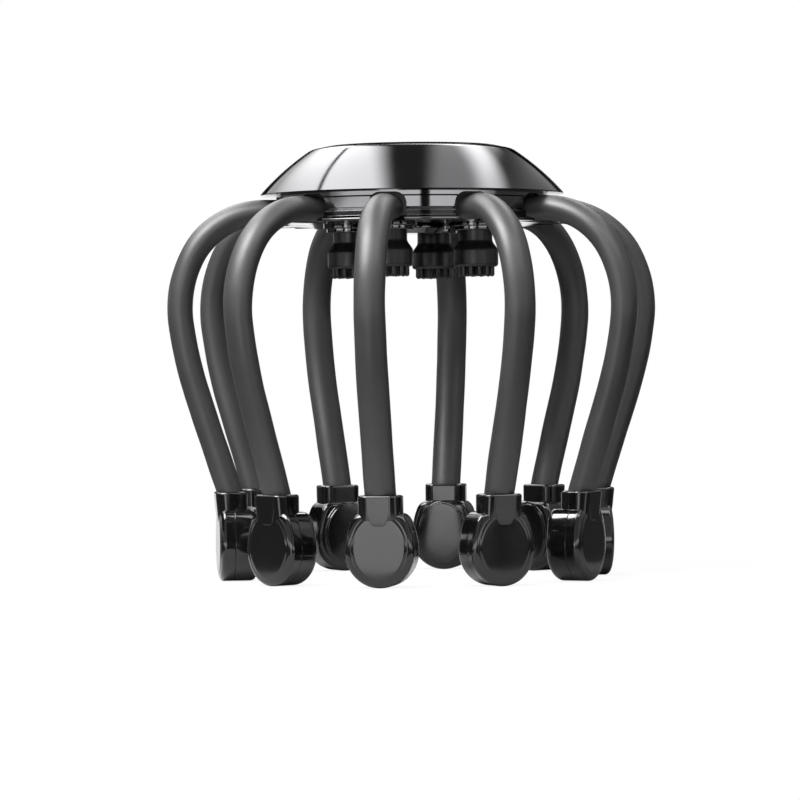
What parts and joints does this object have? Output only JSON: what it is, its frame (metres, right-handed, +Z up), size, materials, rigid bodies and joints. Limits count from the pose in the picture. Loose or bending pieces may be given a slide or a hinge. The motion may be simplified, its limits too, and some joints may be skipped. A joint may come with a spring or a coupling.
{
  "type": "electric scalp massager",
  "caption": "Hub with a conical chrome ring and push button, curved silicone claws ending in vibrating pods, and nubbed massage heads under the hub.",
  "frame": {"origin": "on the floor under the hub's axis, the lowest point of the pods at z = 0", "axes": "+Z up along the hub's axis; the first claw points to -Y, and Y is the longest side because two claws lie along it"},
  "size_m": [0.1738, 0.182, 0.16],
  "materials": {
    "dark_chrome": "dark mirror chrome plated on ABS",
    "gloss_cover": "piano black",
    "light_diffuser": "frosted translucent polycarbonate",
    "button_face": "satin black",
    "head_silicone": "satin silicone",
    "sleeve_silicone": "soft-touch satin silicone",
    "pod_gloss": "gloss black with a matte contact face",
    "core_steel": "spring wire with a coin motor",
    "frame_plastic": "moulded nylon",
    "battery_wrap": "heat-shrink film",
    "board_laminate": "solder mask",
    "switch_body": "moulded",
    "port_steel": "tinned steel shell",
    "screw_steel": "black zinc"
  },
  "bodies": {
    "hub": {"lower_housing": "dark_chrome", "trim_ring": "dark_chrome", "top_cover": "gloss_cover", "light_ring": "light_diffuser", "head_bezels": "dark_chrome", "centre_cap": "dark_chrome", "inner_frame": "frame_plastic", "battery_pack": "battery_wrap", "circuit_board": "board_laminate", "tactile_switch": "switch_body", "charging_port": "port_steel", "housing_screws": "screw_steel"},
    "power_button": {"power_button": "button_face"},
    "massage_head_1": {"massage_head_1": "head_silicone"},
    "massage_head_2": {"massage_head_2": "head_silicone"},
    "massage_head_3": {"massage_head_3": "head_silicone"},
    "massage_head_4": {"massage_head_4": "head_silicone"},
    "claw_01": {"arm_sleeve_01": "sleeve_silicone", "motor_core_01": "core_steel", "pod_outer_shell_01": "pod_gloss", "pod_inner_shell_01": "pod_gloss"},
    "claw_02": {"arm_sleeve_02": "sleeve_silicone", "motor_core_02": "core_steel", "pod_outer_shell_02": "pod_gloss", "pod_inner_shell_02": "pod_gloss"},
    "claw_03": {"arm_sleeve_03": "sleeve_silicone", "motor_core_03": "core_steel", "pod_outer_shell_03": "pod_gloss", "pod_inner_shell_03": "pod_gloss"},
    "claw_04": {"arm_sleeve_04": "sleeve_silicone", "motor_core_04": "core_steel", "pod_outer_shell_04": "pod_gloss", "pod_inner_shell_04": "pod_gloss"},
    "claw_05": {"arm_sleeve_05": "sleeve_silicone", "motor_core_05": "core_steel", "pod_outer_shell_05": "pod_gloss", "pod_inner_shell_05": "pod_gloss"},
    "claw_06": {"arm_sleeve_06": "sleeve_silicone", "motor_core_06": "core_steel", "pod_outer_shell_06": "pod_gloss", "pod_inner_shell_06": "pod_gloss"},
    "claw_07": {"arm_sleeve_07": "sleeve_silicone", "motor_core_07": "core_steel", "pod_outer_shell_07": "pod_gloss", "pod_inner_shell_07": "pod_gloss"},
    "claw_08": {"arm_sleeve_08": "sleeve_silicone", "motor_core_08": "core_steel", "pod_outer_shell_08": "pod_gloss", "pod_inner_shell_08": "pod_gloss"},
    "claw_09": {"arm_sleeve_09": "sleeve_silicone", "motor_core_09": "core_steel", "pod_outer_shell_09": "pod_gloss", "pod_inner_shell_09": "pod_gloss"},
    "claw_10": {"arm_sleeve_10": "sleeve_silicone", "motor_core_10": "core_steel", "pod_outer_shell_10": "pod_gloss", "pod_inner_shell_10": "pod_gloss"}
  },
  "joints": [
    {"name": "power_button_press", "type": "slide", "parent": "hub", "child": "power_button", "axis": [0, 0, -1], "range_m": [0, 0.0007], "stiffness_N_per_m": 2500},
    {"name": "head_1_push", "type": "slide", "parent": "hub", "child": "massage_head_1", "axis": [0, 0, 1], "range_m": [0, 0.002], "stiffness_N_per_m": 2500},
    {"name": "head_2_push", "type": "slide", "parent": "hub", "child": "massage_head_2", "axis": [0, 0, 1], "range_m": [0, 0.002], "stiffness_N_per_m": 2500},
    {"name": "head_3_push", "type": "slide", "parent": "hub", "child": "massage_head_3", "axis": [0, 0, 1], "range_m": [0, 0.002], "stiffness_N_per_m": 2500},
    {"name": "head_4_push", "type": "slide", "parent": "hub", "child": "massage_head_4", "axis": [0, 0, 1], "range_m": [0, 0.002], "stiffness_N_per_m": 2500},
    {"name": "claw_01_flex", "type": "hinge", "parent": "hub", "child": "claw_01", "pos_m": [0, -0.051, 0.1354], "axis": [-1, 0, 0], "range_deg": [-4, 11], "stiffness_Nm_per_rad": 1.2},
    {"name": "claw_02_flex", "type": "hinge", "parent": "hub", "child": "claw_02", "pos_m": [0.02998, -0.04126, 0.1354], "axis": [-0.809, -0.5878, 0], "range_deg": [-4, 11], "stiffness_Nm_per_rad": 1.2},
    {"name": "claw_03_flex", "type": "hinge", "parent": "hub", "child": "claw_03", "pos_m": [0.0485, -0.01576, 0.1354], "axis": [-0.309, -0.9511, 0], "range_deg": [-4, 11], "stiffness_Nm_per_rad": 1.2},
    {"name": "claw_04_flex", "type": "hinge", "parent": "hub", "child": "claw_04", "pos_m": [0.0485, 0.01576, 0.1354], "axis": [0.309, -0.9511, 0], "range_deg": [-4, 11], "stiffness_Nm_per_rad": 1.2},
    {"name": "claw_05_flex", "type": "hinge", "parent": "hub", "child": "claw_05", "pos_m": [0.02998, 0.04126, 0.1354], "axis": [0.809, -0.5878, 0], "range_deg": [-4, 11], "stiffness_Nm_per_rad": 1.2},
    {"name": "claw_06_flex", "type": "hinge", "parent": "hub", "child": "claw_06", "pos_m": [0, 0.051, 0.1354], "axis": [1, 0, 0], "range_deg": [-4, 11], "stiffness_Nm_per_rad": 1.2},
    {"name": "claw_07_flex", "type": "hinge", "parent": "hub", "child": "claw_07", "pos_m": [-0.02998, 0.04126, 0.1354], "axis": [0.809, 0.5878, 0], "range_deg": [-4, 11], "stiffness_Nm_per_rad": 1.2},
    {"name": "claw_08_flex", "type": "hinge", "parent": "hub", "child": "claw_08", "pos_m": [-0.0485, 0.01576, 0.1354], "axis": [0.309, 0.9511, 0], "range_deg": [-4, 11], "stiffness_Nm_per_rad": 1.2},
    {"name": "claw_09_flex", "type": "hinge", "parent": "hub", "child": "claw_09", "pos_m": [-0.0485, -0.01576, 0.1354], "axis": [-0.309, 0.9511, 0], "range_deg": [-4, 11], "stiffness_Nm_per_rad": 1.2},
    {"name": "claw_10_flex", "type": "hinge", "parent": "hub", "child": "claw_10", "pos_m": [-0.02998, -0.04126, 0.1354], "axis": [-0.809, 0.5878, 0], "range_deg": [-4, 11], "stiffness_Nm_per_rad": 1.2}
  ]
}
